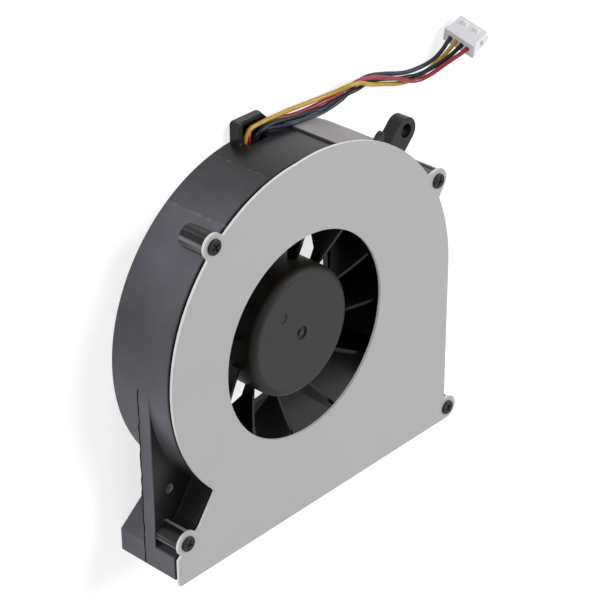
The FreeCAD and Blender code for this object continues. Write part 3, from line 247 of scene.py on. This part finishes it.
def plastic(name, color, rough, grain=5200.0, grain_strength=0.12, light=None, shine=0.5):
    """Moulded plastic with a fine spark-eroded grain and slightly uneven sheen."""
    paint = Paint(name, color, rough)
    paint.soften(0.00012)
    light = light or tuple(v * 1.15 for v in color)
    paint.tint(paint.mix(paint.spread(paint.noise(160.0), 0, 1), color, light))
    paint.roughen(paint.spread(paint.noise(420.0, 4.0), rough - 0.03, rough + 0.04))
    paint.relief(paint.noise(grain, 2.0), grain_strength, 0.00004)
    paint.shader.inputs["Specular IOR Level"].default_value = shine
    return paint


def from_axis(paint, centre=(0.0, 0.0)):
    """Distance from an upright axis through a point of the plan."""
    shift = paint.add("VectorMath", operation="SUBTRACT")
    shift.inputs[1].default_value = (*[value * MM for value in centre], 0)
    flat = paint.add("VectorMath", operation="MULTIPLY")
    flat.inputs[1].default_value = (1, 1, 0)
    length = paint.add("VectorMath", operation="LENGTH")
    paint.link(paint.coordinates, shift.inputs[0])
    paint.link(shift.outputs["Vector"], flat.inputs[0])
    paint.link(flat.outputs["Vector"], length.inputs[0])
    return length.outputs["Value"]


def along(paint, axis):
    """One coordinate of the piece's own frame."""
    parts = paint.add("SeparateXYZ")
    paint.link(paint.coordinates, parts.inputs["Vector"])
    return parts.outputs[axis]


def maths(paint, first, second, operation="MULTIPLY"):
    """Two values joined by one operation; each is a number or a socket."""
    node = paint.add("Math", operation=operation)
    for socket, value in zip(node.inputs, (first, second)):
        if isinstance(value, float):
            socket.default_value = value
        else:
            paint.link(value, socket)
    return node.outputs["Value"]


def stripe(paint, value, centre, half, soft):
    """1 where a value lies within half of the centre, falling to 0 over a soft edge."""
    size = paint.add("Math", operation="ABSOLUTE")
    paint.link(maths(paint, value, centre, "SUBTRACT"), size.inputs[0])
    return paint.spread(size.outputs["Value"], 1, 0, half, half + soft)


def impeller_plastic():
    """A matte hub and glossy blades of one dark plastic, told apart by their distance from the axis."""
    hub, blade = (0.035, 0.035, 0.037), (0.013, 0.0105, 0.008)
    paint = plastic("impeller_plastic", hub, 0.5, 6500.0, 0.05, shine=0.2)
    distance = from_axis(paint)
    cloud = paint.spread(paint.noise(220.0), 0, 1)
    face = paint.mix(cloud, hub, tuple(v * 1.08 for v in hub))
    # The hub's rounded rim already takes the blades' darker colour: painted shade on the rim.
    paint.tint(paint.mix(paint.spread(distance, 0, 1, 10.4 * MM, 11.2 * MM), face, blade))
    paint.roughen(paint.spread(distance, 0.52, 0.22, 11.9 * MM, 12.3 * MM))
    return paint


def casing_plastic():
    """Moulded casing: the outer wall is paler in two steps along the rim, partly a paler finish and partly
    painted reflection of the bright surroundings, and painted shade makes it darker low down; the rest is
    smooth and darker, and the recess is kept dark as painted shade. A pale stretch beside the seam is
    painted sheen, thin witness lines lie where the steps meet, the left bosses carry painted highlights, and
    the flange hole's bore is painted pale."""
    # Colours: smooth is the plastic's own dark; outer, dull and pale_end are the wall's paler steps, partly
    # a paler finish and partly painted reflection.
    smooth, outer = (0.012, 0.0115, 0.0135), (0.2, 0.193, 0.227)
    dull, pale_end = (0.04, 0.039, 0.044), (0.155, 0.15, 0.172)
    paint = plastic("casing_plastic", smooth, 0.42, 4200.0, 0.16, shine=0.28)
    x, y, z = along(paint, "X"), along(paint, "Y"), along(paint, "Z")
    turn = maths(paint, maths(paint, RIM_CENTRE[1] * MM, y, "SUBTRACT"),
                 maths(paint, RIM_CENTRE[0] * MM, x, "SUBTRACT"), "ARCTAN2")
    first, second, last = radians(-77), radians(-56), radians(62)
    step = radians(0.5)
    cloud = paint.spread(paint.noise(130.0, 4.0), 0, 1)
    # The wall's paler steps along the rim: partly a paler finish, partly a painted reflection of the bright
    # surroundings.
    middle = paint.mix(paint.spread(turn, 0, 1, first, second), dull, pale_end)
    wall = paint.mix(paint.spread(turn, 0, 1, second - step, second + step), middle, outer)
    # Painted shade: the wall is darker low down.
    low_painted_shade = stripe(paint, turn, radians(-16), radians(4), radians(20))
    wall = paint.mix(maths(paint, low_painted_shade, 0.6), wall, (0.09, 0.088, 0.095))
    wall = paint.mix(maths(paint, cloud, 0.3), wall, smooth)
    distance = from_axis(paint, RIM_CENTRE)
    outside = paint.spread(distance, 0, 1, 30.5 * MM, 31.0 * MM)
    reach = maths(paint, paint.spread(turn, 0, 1, first - step, first + step),
                  paint.spread(turn, 1, 0, last, last + 4 * step))
    reach = maths(paint, reach, paint.spread(z, 1, 0, 12.6 * MM, 13.0 * MM))
    # Kept out of the pale colours: the recess, as painted shade, and the bosses standing out above the
    # flange.
    recess = maths(paint, paint.spread(y, 1, 0, -16 * MM, -3 * MM),
                   paint.spread(distance, 0, 1, 31.3 * MM, 31.5 * MM), "MAXIMUM")
    recess = maths(paint, recess, paint.spread(z, 0, 1, 8.0 * MM, 8.4 * MM))
    recess = maths(paint, recess, paint.spread(x, 0, 1, -31.6 * MM, -31.4 * MM))
    pale = maths(paint, maths(paint, outside, reach), maths(paint, 1.0, recess, "SUBTRACT"))
    # Painted sheen: a pale stretch of wall beside the seam.
    beside = maths(paint, paint.spread(x, 0, 1, 7.9 * MM, 8.3 * MM), paint.spread(x, 1, 0, 15 * MM, 19 * MM))
    beside = maths(paint, beside, paint.spread(y, 0, 1, 26 * MM, 29 * MM))
    lines = maths(paint, maths(paint, stripe(paint, turn, first, 0.1 * step, step), 0.4),
                  stripe(paint, turn, second, 0.1 * step, step), "MAXIMUM")
    body = paint.mix(pale, paint.mix(beside, smooth, (0.4, 0.375, 0.39)), wall)
    posts = [paint.spread(from_axis(paint, boss), 1, 0, 2.04 * MM, 2.1 * MM) for boss in LEFT_BOSSES]
    posts = maths(paint, *posts, "MAXIMUM")
    posts = maths(paint, posts, paint.spread(z, 0, 1, 8.08 * MM, 8.12 * MM))
    # Painted highlights along the left bosses.
    painted_boss_highlights = paint.noise(760.0, 1.0, 0.4, paint.stretch((1.0, 1.0, 0.03)))
    painted_boss_highlights = maths(paint, posts, paint.spread(painted_boss_highlights, 0, 1, 0.5, 0.66))
    body = paint.mix(painted_boss_highlights, paint.mix(posts, body, smooth), (0.3, 0.295, 0.32))
    # Painted highlight: the flange hole's bore is pale.
    bore = paint.spread(from_axis(paint, FLANGE_HOLE), 1, 0, 0.82 * MM, 0.88 * MM)
    body = paint.mix(bore, body, (0.55, 0.55, 0.56))
    broken = maths(paint, paint.spread(paint.noise(900.0, 4.0), 0.0, 0.75, 0.46, 0.68),
                   maths(paint, lines, outside))
    paint.tint(paint.mix(broken, body, (0.36, 0.36, 0.37)))
    paint.roughen(paint.spread(maths(paint, pale, beside, "MAXIMUM"), 0.3, 0.46, 0, 1))
    paint.relief(paint.noise(1500.0, 5.0, 0.7), 0.22, 0.00004)
    return paint


def facing(paint, low, high):
    """1 on faces that look along the plate's normal, 0 on its cut edges."""
    normal = paint.add("NewGeometry").outputs["Normal"]
    parts = paint.add("SeparateXYZ")
    paint.link(normal, parts.inputs["Vector"])
    size = paint.add("Math", operation="ABSOLUTE")
    paint.link(parts.outputs["Z"], size.inputs[0])
    return paint.spread(size.outputs["Value"], 0, 1, low, high)


def sheet_metal():
    """Satin sheet with fine rolling lines; its cut edges are painted near white as a painted highlight."""
    face, edge = (0.445, 0.445, 0.45), (0.95, 0.95, 0.95)
    paint = Paint("cover_sheet", face, 0.45, 0.25)
    rolled = paint.noise(900.0, 4.0, 0.6, paint.stretch((1.0, 0.04, 1.0)))
    cloud = paint.noise(60.0, 3.0)
    body = paint.mix(paint.spread(cloud, 0, 1), face, tuple(v * 1.03 for v in face))
    # Painted highlight: the cut edges are near white.
    paint.tint(paint.mix(facing(paint, 0.4, 0.8), edge, body))
    paint.roughen(paint.spread(rolled, 0.43, 0.47))
    paint.relief(rolled, 0.012, 0.00003)
    return paint


def metal(name, color, rough, lines=0.0):
    paint = Paint(name, color, rough, 1.0)
    paint.soften(0.00006)
    paint.tint(paint.mix(paint.spread(paint.noise(300.0), 0, 1), color, tuple(v * 0.82 for v in color)))
    paint.roughen(paint.spread(paint.noise(900.0, 3.0), rough - 0.06, rough + 0.08))
    if lines:
        paint.relief(paint.noise(lines, 2.0, 0.5, paint.stretch((1.0, 1.0, 0.05))), 0.15, 0.00003)
    return paint


def insulation(name, color, dark, shine=0.5):
    """Thin glossy wire insulation with slight smears along it."""
    paint = Paint(name, color, 0.32)
    paint.tint(paint.mix(paint.spread(paint.noise(700.0, 3.0), 0, 1, 0.45, 0.75), color, dark))
    paint.roughen(paint.spread(paint.noise(1500.0), 0.26, 0.42))
    paint.relief(paint.noise(2600.0, 2.0), 0.08, 0.00003)
    paint.shader.inputs["Specular IOR Level"].default_value = shine
    return paint


PAINTS = {
    "casing": casing_plastic(),
    "impeller": impeller_plastic(),
    "cover_plate": sheet_metal(),
    "cover_screws": metal("screw_steel", (0.035, 0.035, 0.038), 0.3),
    "rotor_yoke": metal("yoke_steel", (0.45, 0.45, 0.46), 0.35, 3000.0),
    "magnet_ring": plastic("magnet_ferrite", (0.06, 0.06, 0.065), 0.6, 3000.0, 0.3),
    "shaft": metal("shaft_steel", (0.65, 0.65, 0.67), 0.2, 4000.0),
    "bearing_holder": metal("holder_brass", (0.62, 0.47, 0.2), 0.3, 3500.0),
    "bearing_sleeve": metal("sleeve_bronze", (0.4, 0.26, 0.13), 0.5),
    "thrust_pad": plastic("pad_plastic", (0.6, 0.58, 0.52), 0.5),
    "oil_seal": plastic("seal_plastic", (0.05, 0.05, 0.05), 0.5),
    "retaining_ring": plastic("ring_plastic", (0.6, 0.58, 0.52), 0.5),
    "stator_core": metal("core_steel", (0.3, 0.3, 0.31), 0.45, 9000.0),
    "lower_insulator": plastic("insulator_plastic", (0.5, 0.48, 0.42), 0.5),
    "circuit_board": plastic("board_laminate", (0.02, 0.1, 0.045), 0.35, 3000.0, 0.1),
    "driver_chip": plastic("chip_epoxy", (0.02, 0.02, 0.022), 0.55),
    "solder_joints": metal("solder_tin", (0.6, 0.6, 0.62), 0.25),
    "plug_housing": plastic("plug_nylon", (0.9, 0.9, 0.94), 0.4, 3800.0, 0.08, (0.93, 0.93, 0.95)),
    "plug_terminals": metal("terminal_tin", (0.55, 0.52, 0.45), 0.3),
}
PAINTS["upper_insulator"] = PAINTS["lower_insulator"]
coil = metal("coil_copper", (0.6, 0.24, 0.1), 0.3, 12000.0)
for number in range(1, 5):
    PAINTS["coil_%d" % number] = coil
LEAD_PAINTS = {
    "wire_yellow": insulation("lead_yellow", (0.6, 0.36, 0.03), (0.45, 0.25, 0.02)),
    "wire_red": insulation("lead_red", (0.36, 0.012, 0.03), (0.26, 0.008, 0.02)),
    "wire_black": insulation("lead_black", (0.006, 0.006, 0.009), (0.011, 0.011, 0.016), 0.25),
    "wire_blue": insulation("lead_blue", (0.022, 0.03, 0.065), (0.014, 0.02, 0.045), 0.3),
}


def dress(piece, paint):
    if piece.data.materials:
        for index in range(len(piece.data.materials)):
            piece.data.materials[index] = paint.material
    else:
        piece.data.materials.append(paint.material)


for node, paint in PAINTS.items():
    dress(nodes[node], paint)
for node, paint in LEAD_PAINTS.items():
    dress(leads[node], paint)
dress(flash_line, plastic("flash_plastic", (0.003, 0.003, 0.003), 0.7, shine=0.1))


# Floor, lamps and surroundings
def seen_white(tree):
    """1 for rays that show the white background: seen, mirrored or passed through."""
    path = tree.nodes.new("ShaderNodeLightPath")
    largest = path.outputs["Is Camera Ray"]
    for name in ("Is Glossy Ray", "Is Transmission Ray"):
        step = tree.nodes.new("ShaderNodeMath")
        step.operation = "MAXIMUM"
        tree.links.new(largest, step.inputs[0])
        tree.links.new(path.outputs[name], step.inputs[1])
        largest = step.outputs["Value"]
    return largest


def make_floor():
    half = 1.5
    corners = [(-half, -half, 0), (half, -half, 0), (half, half, 0), (-half, half, 0)]
    mesh = bpy.data.meshes.new("floor")
    mesh.from_pydata(corners, [], [(0, 1, 2, 3)])
    floor = bpy.data.objects.new("floor", mesh)
    floor.location.z = -0.00002
    bpy.context.scene.collection.objects.link(floor)
    material = bpy.data.materials.new("floor")
    material.use_nodes = True
    tree = material.node_tree
    shader = tree.nodes["Principled BSDF"]
    shader.inputs["Base Color"].default_value = (0.5, 0.5, 0.5, 1)
    shader.inputs["Roughness"].default_value = 1.0
    shader.inputs["Specular IOR Level"].default_value = 0.0
    shader.inputs["Emission Color"].default_value = (1, 1, 1, 1)
    glow = tree.nodes.new("ShaderNodeMath")
    glow.operation = "MULTIPLY"
    glow.inputs[1].default_value = 0.72
    tree.links.new(seen_white(tree), glow.inputs[0])
    tree.links.new(glow.outputs["Value"], shader.inputs["Emission Strength"])
    mesh.materials.append(material)


def make_world():
    world = bpy.data.worlds.new("world")
    bpy.context.scene.world = world
    world.use_nodes = True
    tree = world.node_tree
    background = tree.nodes["Background"]
    background.inputs["Color"].default_value = (1, 1, 1, 1)
    level = tree.nodes.new("ShaderNodeMapRange")
    level.inputs["To Min"].default_value = 0.32
    level.inputs["To Max"].default_value = 1.0
    tree.links.new(seen_white(tree), level.inputs["Value"])
    tree.links.new(level.outputs["Result"], background.inputs["Strength"])


def make_lamp(name, place, target, size, power):
    data = bpy.data.lights.new(name, "AREA")
    data.shape = "DISK"
    data.size = size
    data.energy = power
    lamp = bpy.data.objects.new(name, data)
    bpy.context.scene.collection.objects.link(lamp)
    lamp.location = place
    aim = Vector(target) - Vector(place)
    lamp.rotation_euler = aim.to_track_quat("-Z", "Y").to_euler()


make_floor()
make_world()
make_lamp("key", (0.55, 0.3, 0.75), (0, 0, 0), 0.5, 6.0)
make_lamp("side", (-0.78, 0.52, 0.1), (0, 0, 0), 0.4, 2.1)
make_lamp("front", (-0.1, -0.7, 0.5), (0, 0, 0), 0.4, 0.8)
